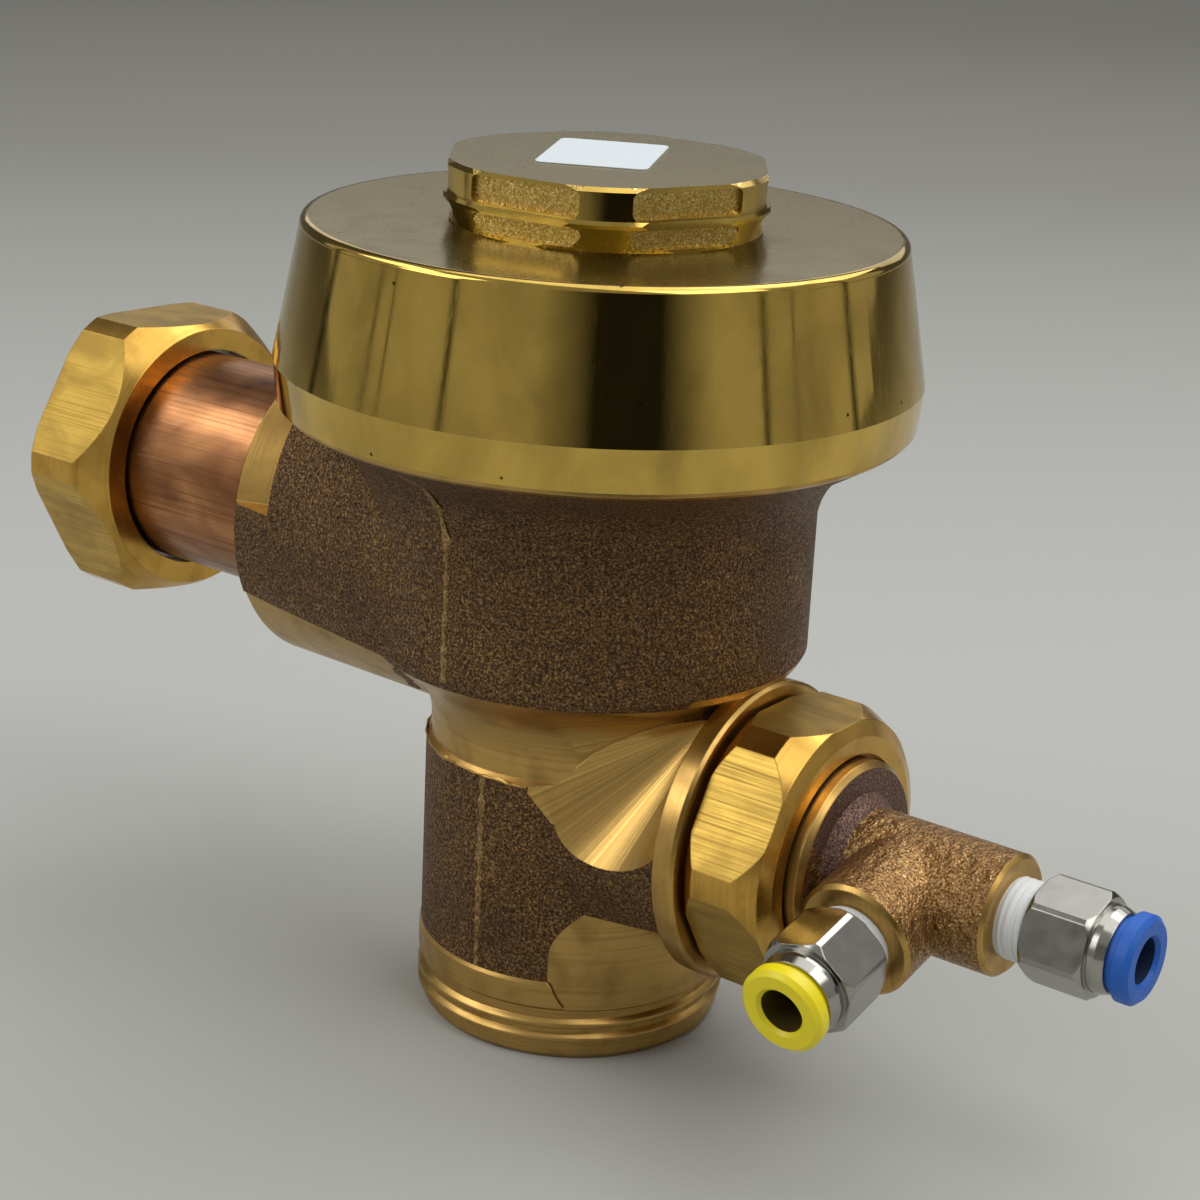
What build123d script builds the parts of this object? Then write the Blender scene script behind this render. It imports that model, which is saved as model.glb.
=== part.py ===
from build123d import *
import math
import os

# Unplated hydraulic flush valve: cast body standing on its outlet, screwed cover,
# inlet tail with a loose coupling nut, and a water-operated push rod on the other side.
# Millimetres. Z is the valve axis, the outlet's rim is z = 0, the inlet points to -X.

# Body, outside
OUTLET_R = 24.0
OUTLET_RIM_R = 22.4
OUTLET_ROOT_R = 23.1
OUTLET_THREAD_L = 8.2
OUTLET_SOCKET_R = 18.0
OUTLET_SOCKET_L = 14.0
OUTLET_COLLAR_H = 13.0
NECK_R = 23.7
NECK_TOP = 44.0
COVE_R = 23.0
COVE_START = 48.0
COVE_MIDDLE = (24.5, 52.6)
COVE_END = (28.2, 56.4)
BOWL_R = 33.5
BOWL_BOTTOM = 60.0
BOWL_TOP = 82.0
FLARE_MIDDLE = (35.2, 87.2)
FLARE_END = (39.0, 91.2)
LIP_R = 46.4
LIP_BOTTOM = 95.2
LIP_TOP = 96.4
COVER_THREAD_R = 43.0
RIM_TOP = 105.0

# Body, inside
BORE_R = 17.0
BARREL_R = 20.4
SEAT_Z = 95.0
CHAMBER_R = 29.5
CHAMBER_FLOOR = 62.5
RIM_BORE_R = 34.0

# Inlet side, lengths measured from the valve axis along -X
INLET_Z = 70.8
INLET_BOSS_R = 25.7
INLET_BOSS_END = 50.2
INLET_BOSS_EDGE = 1.2
INLET_ROOT_WIDE = 33.4
INLET_ROOT_TALL = 24.4
INLET_SKIN_TALL = 45.0
INLET_SKIN_TIP = 0.4
INLET_SKIN_ROOT = 1.6
INLET_SKIN_LOW = 60.6
SCOOP_AT = 41.6
SCOOP_R = 21.6
SCOOP_FLOOR = 75.2
TAIL_R = 17.46
TAIL_BORE_R = 14.3
TAIL_START = 38.0
TAIL_END = 86.6
TAIL_FIT = 0.06
TAIL_RING_AT = 84.8
INLET_NUT_FACE = 81.2
INLET_NUT_LENGTH = 15.8
INLET_NUT_FLAT = 22.4
INLET_NUT_CORNER = 24.9
INLET_NUT_HOLE = 18.1
INLET_NUT_THREAD = 20.6
INLET_NUT_RELIEF = 21.0

# Actuator side, lengths measured from the valve axis along +X
ACT_Z = 37.9
ACT_BOSS_R = 20.8
ACT_ROOT_AT = 4.0
ACT_ROOT_WIDE = 20.9
ACT_ROOT_TALL = 27.0
ACT_ROOT_Z = 36.0
ARCH_R = 23.5
ARCH_WIDE = 20.8
ARCH_LOW = 3.0
ARCH_TOP = 28.0
ARCH_CORNER = 11.0
SHOULDER_WALL = 3.6
SHOULDER_CUT_APEX = (29.5, 8.5, 56.5)
SHOULDER_CUT_DIR = (-0.301, 0.869, -0.394)
SHOULDER_CUT_ANGLE = 34.9
ACT_FLANGE_R = 22.7
ACT_FLANGE_AT = 30.6
ACT_FLANGE_END = 34.0
ACT_THREAD_R = 18.0
ACT_THREAD_END = 43.0
ACT_BORE_R = 13.2
ACT_NUT_START = 34.7
ACT_NUT_END = 48.0
ACT_NUT_FLAT = 20.2
ACT_NUT_CORNER = 22.2
ACT_NUT_HOLE = 15.6
ACT_NUT_FACE_R = 18.2
ACT_NUT_EDGE = (20.5, 47.0)
ACT_NUT_CHAMFER_AT = 43.4
THREAD_GAP = 0.1
GASKET_T = 0.8
BUSH_FLANGE_T = 1.2
ACT_RIM_T = 1.0
ACT_DISC_R = 15.0
ACT_DISC_END = 50.4
TEE_AT = 60.0
TEE_R = 8.9
TEE_PORT = 16.0
FRONT_TILT = 13.0
PASSAGE_R = 3.0
PORT_THREAD_R = 5.2
TAPE_T = 0.5

# Cover
COVER_CREASE_R = 47.6
COVER_CREASE_Z = 102.6
COVER_BASE_R = 47.0
COVER_TOP_R = 43.7
COVER_TOP = 123.2
COVER_EDGE = 1.2
COVER_ROOF = 120.2
HEX_TOP = 132.3
HEX_RING_Z = 127.2
HEX_CORNER_R = 24.0
HEX_FLAT = 22.5
HEX_RING_H = 1.1
HEX_TAPER = 1.6
PANEL_WIDE = 17.4
PANEL_DEEP = 0.9
PANEL_CORNER = 0.9
PANEL_RIM = 0.6
HEX_TURN = -53.6
LABEL_SIZE = (20.6, 15.6)
LABEL_T = 0.15

# Diaphragm and flush parts
DIAPHRAGM_R = 40.4
DIAPHRAGM_T = 2.4
FLUSH_GUIDE_R = 16.92
FLUSH_GUIDE_BORE = 10.5
FLUSH_GUIDE_BOTTOM = 74.0
FLUSH_DISC_R = 24.0
FLUSH_DISC_T = 3.0
RELIEF_HOLE_R = 6.5
RELIEF_R = 9.5
RELIEF_T = 2.6
STEM_R = 2.4
STEM_BOTTOM = 31.0

# Push rod
PISTON_R = 8.9
PISTON_FIT = 0.08
PISTON_AT = 38.4
PISTON_L = 5.0
ROD_R = 3.0
ROD_FIT = 0.06
ROD_TIP = 3.6
BUSH_R = 12.9
BUSH_NOSE = 19.0
BUSH_WALL = 3.6

# Push-in tube fittings, measured from the port face along the fitting
FIT_TAPE_L = 4.6
FIT_TAPE_L_FRONT = 2.4
FIT_HEX_L = 9.6
FIT_HEX_FLAT = 6.9
FIT_NOSE_L = 2.6
FIT_NOSE_R = 6.3
FIT_SCREW_L = 7.0
FIT_BORE_R = 5.4
COLLET_R = 6.4
COLLET_SLEEVE_R = 5.34
COLLET_HEAD_L = 2.4
COLLET_TRAVEL = 1.2
TUBE_R = 3.3


def outline(start, *steps):
    """Closed face in the XZ plane; a step is a point, or a (through, end) pair for an arc."""
    edges = []
    here = start
    for step in steps + (start,):
        if isinstance(step[0], tuple):
            through, end = step
            pts = [Vector(p[0], 0, p[1]) for p in (here, through, end)]
            edges.append(ThreePointArc(*pts))
        else:
            end = step
            edges.append(Line(Vector(here[0], 0, here[1]), Vector(end[0], 0, end[1])))
        here = end
    return make_face(edges)


def turned(start, *steps):
    """Solid of revolution about Z from a (radius, height) outline."""
    return revolve(outline(start, *steps), Axis.Z, 360)


def tube(r_out, r_in, z0, z1):
    """Plain tube about Z."""
    return turned((r_in, z0), (r_out, z0), (r_out, z1), (r_in, z1))


def rod(r, z0, z1):
    """Plain rod about Z."""
    return turned((0, z0), (r, z0), (r, z1), (0, z1))


def hexagon(flat, z0, z1, turn=0.0):
    """Hexagonal bar about Z, half across flats given, a corner at the turn angle."""
    face = RegularPolygon(flat / math.cos(math.pi / 6), 6, rotation=turn)
    return Pos(0, 0, z0) * extrude(face, z1 - z0)


INLET = Plane(origin=(0, 0, INLET_Z), x_dir=(0, 1, 0), z_dir=(-1, 0, 0)).location
ACT = Plane(origin=(0, 0, ACT_Z), x_dir=(0, 1, 0), z_dir=(1, 0, 0)).location
TILT = math.radians(FRONT_TILT)
FRONT_DIR = (0, -math.cos(TILT), -math.sin(TILT))
FRONT = Plane(origin=(TEE_AT, 0, ACT_Z), x_dir=(1, 0, 0), z_dir=FRONT_DIR).location
SIDE = Plane(origin=(TEE_AT, 0, ACT_Z), x_dir=(0, 1, 0), z_dir=(1, 0, 0)).location


def body_shell():
    """Neck, turned cove, bowl and threaded top, as one turned outside."""
    return turned(
        (0, 0), (OUTLET_RIM_R, 0), (OUTLET_ROOT_R, 0.9), (OUTLET_ROOT_R, OUTLET_THREAD_L),
        (OUTLET_R, OUTLET_THREAD_L + 0.7), (OUTLET_R, OUTLET_COLLAR_H - 0.6),
        (NECK_R, OUTLET_COLLAR_H), (NECK_R, NECK_TOP), (COVE_R, NECK_TOP + 0.7), (COVE_R, COVE_START),
        (COVE_MIDDLE, COVE_END), (BOWL_R - 0.6, BOWL_BOTTOM), (BOWL_R, BOWL_BOTTOM + 1.2),
        (BOWL_R, BOWL_TOP), (FLARE_MIDDLE, FLARE_END), (LIP_R - 0.6, LIP_BOTTOM),
        (LIP_R, LIP_BOTTOM + 0.5), (LIP_R, LIP_TOP), (COVER_THREAD_R, LIP_TOP),
        (COVER_THREAD_R, RIM_TOP - 1), (COVER_THREAD_R - 1, RIM_TOP), (0, RIM_TOP),
    )


def boss_loft(root_wide, root_tall, tip_r):
    """Inlet boss drawn from an oval at the valve axis to a round end."""
    root = INLET * Ellipse(root_wide, root_tall)
    tip = INLET * (Pos(0, 0, INLET_BOSS_END - INLET_BOSS_EDGE) * Circle(tip_r))
    return loft([root, tip])


def inlet_boss():
    """Inlet boss: cast skin above, machined flank below, a broken edge and a scoop round its top."""
    end = INLET_BOSS_END - INLET_BOSS_EDGE
    flank_r = INLET_BOSS_R - INLET_SKIN_TIP
    cast = boss_loft(INLET_ROOT_WIDE, INLET_SKIN_TALL, INLET_BOSS_R)
    cast = cast & rod(4 * BOWL_R, INLET_SKIN_LOW, LIP_BOTTOM)
    flank = boss_loft(INLET_ROOT_WIDE - INLET_SKIN_ROOT, INLET_ROOT_TALL, flank_r)
    edge = turned(
        (0, end), (flank_r, end), (INLET_BOSS_R - INLET_BOSS_EDGE, INLET_BOSS_END), (0, INLET_BOSS_END),
    )
    boss = cast + flank + INLET * edge
    far = 2 * INLET_BOSS_R
    beyond = INLET_BOSS_END + 1
    scoop = turned((SCOOP_R, SCOOP_AT), (INLET_BOSS_R - 0.5, beyond), (far, beyond), (far, SCOOP_AT - 2))
    return boss - (INLET * scoop & rod(4 * BOWL_R, SCOOP_FLOOR, RIM_TOP))


def actuator_boss():
    """Side boss drawn from an oval root in the neck, and the turned flange with its thread."""
    tip_at = ACT_FLANGE_AT - 0.8
    root = ACT * (Pos(0, ACT_ROOT_Z - ACT_Z, ACT_ROOT_AT) * Ellipse(ACT_ROOT_WIDE, ACT_ROOT_TALL))
    tip = ACT * (Pos(0, 0, tip_at) * Circle(ACT_BOSS_R))
    flange = turned(
        (0, tip_at), (ACT_BOSS_R, tip_at), (ACT_FLANGE_R - 0.6, tip_at + 0.4),
        (ACT_FLANGE_R, ACT_FLANGE_AT), (ACT_FLANGE_R, ACT_FLANGE_END - 0.5),
        (ACT_FLANGE_R - 0.5, ACT_FLANGE_END), (ACT_THREAD_R, ACT_FLANGE_END),
        (ACT_THREAD_R, ACT_THREAD_END), (0, ACT_THREAD_END),
    )
    return loft([root, tip]), ACT * flange


def boss_cuts():
    """Cuts in the side boss: an arched pocket over the outlet collar and a cone at each shoulder."""
    pocket = RectangleRounded(2 * ARCH_WIDE, ARCH_TOP - ARCH_LOW, ARCH_CORNER)
    start = BORE_R / 2
    deep = extrude(pocket, ACT_FLANGE_AT - 0.6 - start)
    arch = ACT * (Pos(0, (ARCH_LOW + ARCH_TOP) / 2 - ACT_Z, start) * deep)
    tools = arch - rod(ARCH_R, -1, RIM_TOP)
    length = 2 * NECK_R
    wide = length * math.tan(math.radians(SHOULDER_CUT_ANGLE))
    cone = Pos(0, 0, length / 2) * Cone(0.01, wide, length)
    keep = rod(BORE_R + SHOULDER_WALL, -2, RIM_TOP) + ACT * rod(ACT_BORE_R + 1.6, 0, ACT_FLANGE_END)
    keep = keep + rod(2 * LIP_R, BOWL_BOTTOM, RIM_TOP)
    for side in (-1, 1):
        along = (SHOULDER_CUT_DIR[0], side * SHOULDER_CUT_DIR[1], SHOULDER_CUT_DIR[2])
        apex = (SHOULDER_CUT_APEX[0], side * SHOULDER_CUT_APEX[1], SHOULDER_CUT_APEX[2])
        tools = tools + (Plane(origin=apex, z_dir=along).location * cone - keep)
    return tools


def valve_body():
    """Cast body with its bosses, turned surfaces and waterways."""
    pad, flange = actuator_boss()
    solid = body_shell() + inlet_boss() + pad - boss_cuts() + flange
    cavity = turned(
        (BARREL_R, CHAMBER_FLOOR + 2), (BARREL_R + 2, CHAMBER_FLOOR), (CHAMBER_R - 2, CHAMBER_FLOOR),
        (CHAMBER_R, CHAMBER_FLOOR + 2), (CHAMBER_R, 90), (RIM_BORE_R, 96), (RIM_BORE_R, RIM_TOP + 1),
        (0, RIM_TOP + 1), (0, SEAT_Z), (BARREL_R - 0.6, SEAT_Z), (BARREL_R, SEAT_Z - 0.6),
    )
    solid = solid - cavity - rod(BORE_R, -1, SEAT_Z + 1) - rod(OUTLET_SOCKET_R, -1, OUTLET_SOCKET_L)
    solid = solid - INLET * rod(TAIL_BORE_R, BARREL_R + 2, TAIL_START)
    solid = solid - INLET * rod(TAIL_R + TAIL_FIT, TAIL_START - 0.5, INLET_BOSS_END + 1)
    return solid - ACT * rod(ACT_BORE_R, 6, ACT_THREAD_END + 1)


def hexagon_head():
    """Head of the cover: a hexagon with rounded corners, a ring round its middle and a tapered foot."""
    foot = COVER_TOP - 0.5
    ring_low = HEX_RING_Z - HEX_RING_H / 2
    ring_high = HEX_RING_Z + HEX_RING_H / 2
    edge = PANEL_RIM
    round_off = turned(
        (0, foot), (HEX_CORNER_R - HEX_TAPER, foot), (HEX_CORNER_R - 0.2, ring_low),
        (HEX_CORNER_R - 0.2, ring_high), (HEX_CORNER_R, ring_high), (HEX_CORNER_R, HEX_TOP - edge),
        (HEX_CORNER_R - edge, HEX_TOP), (0, HEX_TOP),
    )
    ring = turned(
        (0, ring_low), (HEX_CORNER_R, ring_low), (HEX_CORNER_R + 0.3, HEX_RING_Z),
        (HEX_CORNER_R, ring_high), (0, ring_high),
    )
    head = hexagon(HEX_FLAT, foot, HEX_TOP, HEX_TURN) & round_off
    return head + (ring & hexagon(HEX_FLAT + 0.6, ring_low, ring_high, HEX_TURN))


def head_panels():
    """Pockets sunk in the head's six sides, above and below the ring."""
    low = (COVER_TOP + 0.5, HEX_RING_Z - HEX_RING_H / 2 - 0.2)
    high = (HEX_RING_Z + HEX_RING_H / 2 + 0.2, HEX_TOP - PANEL_RIM)
    pockets = []
    for bottom, top in (low, high):
        face = RectangleRounded(PANEL_WIDE, top - bottom, PANEL_CORNER)
        block = extrude(face, HEX_CORNER_R - HEX_FLAT + PANEL_DEEP + 1)
        for k in range(6):
            turn = math.radians(HEX_TURN + 30 + 60 * k)
            out = (math.cos(turn), math.sin(turn), 0)
            start = HEX_FLAT - PANEL_DEEP
            origin = (out[0] * start, out[1] * start, (bottom + top) / 2)
            pockets.append(Plane(origin=origin, x_dir=(-out[1], out[0], 0), z_dir=out).location * block)
    return Compound(children=pockets)


def outer_cover():
    """Screwed cover with a hexagonal head."""
    skirt_r = COVER_THREAD_R + THREAD_GAP
    cap = turned(
        (skirt_r, LIP_TOP), (COVER_BASE_R, LIP_TOP), (COVER_CREASE_R, COVER_CREASE_Z),
        (COVER_TOP_R + 0.2, COVER_TOP - COVER_EDGE),
        ((COVER_TOP_R - 0.15, COVER_TOP - 0.35), (COVER_TOP_R - COVER_EDGE + 0.1, COVER_TOP)),
        (0, COVER_TOP), (0, COVER_ROOF), (RIM_BORE_R + 4, COVER_ROOF),
        (skirt_r - 1.8, 115), (skirt_r - 1.8, 110), (skirt_r, 108),
    )
    return cap + hexagon_head() - head_panels()


def cover_label():
    """Blank paper label on the head."""
    sheet = Box(LABEL_SIZE[0], LABEL_SIZE[1], LABEL_T)
    place = Pos(4.2, -6.6, HEX_TOP + LABEL_T / 2) * Rot(0, 0, 117.4)
    return place * sheet


def inside_cover():
    """Domed inner lid that holds the diaphragm's rim down."""
    z = RIM_TOP + DIAPHRAGM_T
    return turned(
        (RIM_BORE_R, z), (DIAPHRAGM_R, z), (DIAPHRAGM_R, z + 3), (36.5, z + 6), (35.5, COVER_ROOF - 1),
        (34.5, COVER_ROOF), (0, COVER_ROOF), (0, COVER_ROOF - 2.6), (32.2, COVER_ROOF - 2.6), (33, z + 6),
    )


def diaphragm():
    """Rubber diaphragm: rim clamped by the inner lid, centre lying on the barrel's seat."""
    t = DIAPHRAGM_T
    inner = FLUSH_GUIDE_R + 0.15
    return turned(
        (inner, SEAT_Z), (FLUSH_DISC_R, SEAT_Z), (RIM_BORE_R, RIM_TOP), (DIAPHRAGM_R, RIM_TOP),
        (DIAPHRAGM_R, RIM_TOP + t), (RIM_BORE_R - 1.2, RIM_TOP + t), (FLUSH_DISC_R + 0.2, SEAT_Z + t),
        (inner, SEAT_Z + t),
    )


def flush_guide():
    """Guide tube in the barrel with the disc that carries the diaphragm's centre."""
    z = SEAT_Z + DIAPHRAGM_T
    return turned(
        (FLUSH_GUIDE_BORE, FLUSH_GUIDE_BOTTOM), (FLUSH_GUIDE_R - 0.8, FLUSH_GUIDE_BOTTOM),
        (FLUSH_GUIDE_R, FLUSH_GUIDE_BOTTOM + 2), (FLUSH_GUIDE_R, z), (FLUSH_DISC_R - 0.4, z),
        (FLUSH_DISC_R - 0.4, z + FLUSH_DISC_T), (RELIEF_HOLE_R, z + FLUSH_DISC_T), (RELIEF_HOLE_R, z - 1),
        (FLUSH_GUIDE_BORE, z - 4),
    )


def relief_valve():
    """Tilting relief disc with its long stem."""
    z = SEAT_Z + DIAPHRAGM_T + FLUSH_DISC_T
    return turned(
        (0, STEM_BOTTOM), (STEM_R - 0.8, STEM_BOTTOM), (STEM_R, STEM_BOTTOM + 0.8), (STEM_R, z),
        (RELIEF_R, z), (RELIEF_R, z + RELIEF_T - 0.6), (RELIEF_R - 0.6, z + RELIEF_T), (0, z + RELIEF_T),
    )


def inlet_tail():
    """Plain tail pipe with grooves for its seal and its retaining ring."""
    groove = TAIL_R - 1.5
    a, b = TAIL_RING_AT - 0.8, TAIL_RING_AT + 0.8
    s0, s1 = TAIL_START + 4, TAIL_START + 6.4
    pipe = turned(
        (TAIL_BORE_R, TAIL_START), (TAIL_R - 0.5, TAIL_START), (TAIL_R, TAIL_START + 0.5), (TAIL_R, s0),
        (groove, s0), (groove, s1), (TAIL_R, s1), (TAIL_R, a), (groove + 0.3, a), (groove + 0.3, b),
        (TAIL_R, b), (TAIL_R, TAIL_END - 0.6), (TAIL_R - 0.6, TAIL_END), (TAIL_BORE_R, TAIL_END),
    )
    return INLET * pipe


def tail_o_ring():
    """Seal ring in the tail's inner groove."""
    s = TAIL_START + 5.2
    return INLET * tube(TAIL_R + 0.02, TAIL_R - 1.44, s - 1.0, s + 1.0)


def tail_snap_ring():
    """Split ring that the coupling nut pulls against."""
    ring = tube(TAIL_R + 2.2, TAIL_R - 1.15, TAIL_RING_AT - 0.75, TAIL_RING_AT + 0.75)
    gap = Pos(0, -TAIL_R, TAIL_RING_AT) * Box(3, 8, 4)
    return INLET * (ring - gap)


def inlet_nut():
    """Hexagonal coupling nut, loose on the tail."""
    a = INLET_NUT_FACE
    b = a + INLET_NUT_LENGTH
    blank = turned((0, a), (21.6, a), (INLET_NUT_CORNER, a + 5.2), (INLET_NUT_CORNER, b - 1.0),
                   (INLET_NUT_CORNER - 1.6, b), (0, b))
    nut = blank & hexagon(INLET_NUT_FLAT, a, b, 2.0)
    hole = turned(
        (0, a - 1), (INLET_NUT_HOLE, a - 1), (INLET_NUT_HOLE, a + 2.6), (INLET_NUT_RELIEF, a + 2.6),
        (INLET_NUT_RELIEF, a + 5.6), (INLET_NUT_THREAD, a + 5.6), (INLET_NUT_THREAD, b + 1), (0, b + 1),
    )
    return INLET * (nut - hole)


def actuator_nut():
    """Hexagonal nut that holds the actuator on the body's thread."""
    a, b = ACT_NUT_START, ACT_NUT_END
    blank = turned(
        (0, a), (ACT_NUT_CORNER - 1.6, a), (ACT_NUT_CORNER, a + 2.2), (ACT_NUT_CORNER, ACT_NUT_CHAMFER_AT),
        ACT_NUT_EDGE, (ACT_NUT_FACE_R, b), (0, b),
    )
    nut = blank & hexagon(ACT_NUT_FLAT, a, b, 0.0)
    step = ACT_THREAD_END + BUSH_FLANGE_T + GASKET_T + ACT_RIM_T
    r = ACT_THREAD_R + THREAD_GAP
    hole = turned((0, a - 1), (r, a - 1), (r, step), (ACT_NUT_HOLE, step), (ACT_NUT_HOLE, b + 1), (0, b + 1))
    return ACT * (nut - hole)


def plunger_bushing():
    """Cylinder in the body's side bore in which the push rod's piston runs."""
    f = ACT_THREAD_END
    bore = PISTON_R + PISTON_FIT
    hole = ROD_R + ROD_FIT
    n = BUSH_NOSE
    return ACT * turned(
        (hole, n), (BUSH_R - 1, n), (BUSH_R, n + 1), (BUSH_R, f), (ACT_THREAD_R - 0.2, f),
        (ACT_THREAD_R - 0.2, f + BUSH_FLANGE_T), (bore, f + BUSH_FLANGE_T), (bore, n + BUSH_WALL),
        (hole, n + BUSH_WALL),
    )


def actuator_gasket():
    """Flat gasket between the bushing's flange and the actuator."""
    f = ACT_THREAD_END + BUSH_FLANGE_T
    return ACT * tube(ACT_THREAD_R - 0.2, PISTON_R + 2, f, f + GASKET_T)


def actuator_body():
    """Cast flange with a two-way tee."""
    f = ACT_THREAD_END + BUSH_FLANGE_T + GASKET_T
    rim_r = ACT_THREAD_R - 0.2
    disc = turned(
        (0, f), (rim_r, f), (rim_r, f + ACT_RIM_T), (ACT_DISC_R, f + ACT_RIM_T),
        (ACT_DISC_R, ACT_DISC_END - 0.8), (ACT_DISC_R - 0.8, ACT_DISC_END), (0, ACT_DISC_END),
    )
    run = turned(
        (0, ACT_DISC_END - 1), (TEE_R + 2.4, ACT_DISC_END - 1), (TEE_R, ACT_DISC_END + 2.2),
        (TEE_R, TEE_AT + TEE_PORT - 0.6), (TEE_R - 0.6, TEE_AT + TEE_PORT), (0, TEE_AT + TEE_PORT),
    )
    branch = turned((0, 0), (TEE_R, 0), (TEE_R, TEE_PORT - 0.6), (TEE_R - 0.6, TEE_PORT), (0, TEE_PORT))
    solid = ACT * (disc + run) + FRONT * branch
    chamber = turned((0, f - 1), (PISTON_R - 1, f - 1), (PISTON_R - 1, f + 4), (PASSAGE_R, f + 6),
                     (PASSAGE_R, TEE_AT + 2), (0, TEE_AT + 2))
    solid = solid - ACT * chamber
    deep = FIT_SCREW_L + 1.2 + FIT_TAPE_L - FIT_TAPE_L_FRONT
    for place, depth in ((SIDE, FIT_SCREW_L + 1.2), (FRONT, deep)):
        solid = solid - place * rod(PASSAGE_R, 0, TEE_PORT)
        solid = solid - place * rod(PORT_THREAD_R + 0.02, TEE_PORT - depth, TEE_PORT + 1)
    return solid


def rod_seal():
    """Seal ring around the push rod in the bushing's nose."""
    n = BUSH_NOSE + BUSH_WALL
    return ACT * tube(PISTON_R - 2.0, ROD_R + ROD_FIT, n, n + 1.6)


def plunger():
    """Push rod with its piston."""
    a = PISTON_AT
    g0, g1 = a + 1.6, a + 3.4
    return ACT * turned(
        (0, ROD_TIP), (ROD_R - 1, ROD_TIP), (ROD_R, ROD_TIP + 1), (ROD_R, a), (PISTON_R, a), (PISTON_R, g0),
        (PISTON_R - 1.6, g0), (PISTON_R - 1.6, g1), (PISTON_R, g1), (PISTON_R, a + PISTON_L), (0, a + PISTON_L),
    )


def piston_seal():
    """Seal ring in the piston's groove."""
    a = PISTON_AT + 2.5
    return ACT * tube(PISTON_R + PISTON_FIT - 0.02, PISTON_R - 1.6, a - 0.85, a + 0.85)


def fitting_pieces(place, tape_l):
    """One push-in fitting: shell, thread tape, seal, gripper and collet."""
    base = TEE_PORT + tape_l
    hex_end = base + FIT_HEX_L
    nose = hex_end + FIT_NOSE_L
    screw = base - FIT_TAPE_L - FIT_SCREW_L
    cut = turned((0, base), (FIT_HEX_FLAT + 0.2, base), (FIT_HEX_FLAT * 1.12, base + 0.8),
                 (FIT_HEX_FLAT * 1.12, hex_end - 0.8), (FIT_HEX_FLAT + 0.2, hex_end), (0, hex_end))
    shell = hexagon(FIT_HEX_FLAT, base, hex_end, 15.0) & cut
    shell = shell + rod(PORT_THREAD_R, screw, base + 0.5)
    shell = shell + turned(
        (0, hex_end - 1), (FIT_NOSE_R, hex_end - 1), (FIT_NOSE_R, nose - 1.4), (FIT_NOSE_R - 0.5, nose),
        (0, nose),
    )
    shell = shell - rod(TUBE_R - 0.8, screw - 1, nose + 1) - rod(FIT_BORE_R, base + 0.6, nose + 1)
    tape = tube(PORT_THREAD_R + TAPE_T, PORT_THREAD_R, TEE_PORT, base)
    seal = tube(FIT_BORE_R, TUBE_R, base + 0.6, base + 2.4)
    grip = tube(FIT_BORE_R, TUBE_R, base + 2.6, base + 3.2)
    head = nose + COLLET_TRAVEL + 0.1
    sleeve = base + 3.4 + COLLET_TRAVEL
    collet = turned(
        (TUBE_R, sleeve), (COLLET_SLEEVE_R, sleeve), (COLLET_SLEEVE_R, head), (COLLET_R, head),
        (COLLET_R, head + COLLET_HEAD_L - 0.7), (COLLET_R - 0.7, head + COLLET_HEAD_L),
        (TUBE_R + 0.5, head + COLLET_HEAD_L), (TUBE_R, head + COLLET_HEAD_L - 0.6),
    )
    return [place * piece for piece in (shell, tape, seal, grip, collet)]


NODES = {
    "valve_body": valve_body(),
    "outer_cover": outer_cover(),
    "cover_label": cover_label(),
    "inside_cover": inside_cover(),
    "diaphragm": diaphragm(),
    "flush_guide": flush_guide(),
    "relief_valve": relief_valve(),
    "inlet_tail": inlet_tail(),
    "tail_o_ring": tail_o_ring(),
    "tail_snap_ring": tail_snap_ring(),
    "inlet_nut": inlet_nut(),
    "actuator_nut": actuator_nut(),
    "plunger_bushing": plunger_bushing(),
    "actuator_gasket": actuator_gasket(),
    "actuator_body": actuator_body(),
    "rod_seal": rod_seal(),
    "plunger": plunger(),
    "piston_seal": piston_seal(),
}
KINDS = ("fitting", "thread_tape", "tube_seal", "gripper", "collet")
for side, place, tape_l in (("front", FRONT, FIT_TAPE_L_FRONT), ("side", SIDE, FIT_TAPE_L)):
    for kind, piece in zip(KINDS, fitting_pieces(place, tape_l)):
        NODES[f"{kind}_{side}"] = piece

os.makedirs("parts", exist_ok=True)
for name, piece in NODES.items():
    solid = Solid(piece.solids()[0].wrapped) if len(piece.solids()) == 1 else Compound(piece.solids())
    export_step(solid, f"parts/{name}.step")
    print(name, len(piece.solids()), round(piece.volume, 1))
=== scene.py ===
# %% [markdown]
# An unplated flush valve: a sand-cast bronze body with turned surfaces, a polished cover, an inlet tail
# with its coupling nut and a small water-operated actuator. The solids come ready made as a fixed frame, so
# this script only gives them their finishes, adds the fine parts that are too small for the solids, and
# sets the light and the camera.

# %% Load the frame
import math
import bpy
import numpy as np
from mathutils import Matrix


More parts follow.
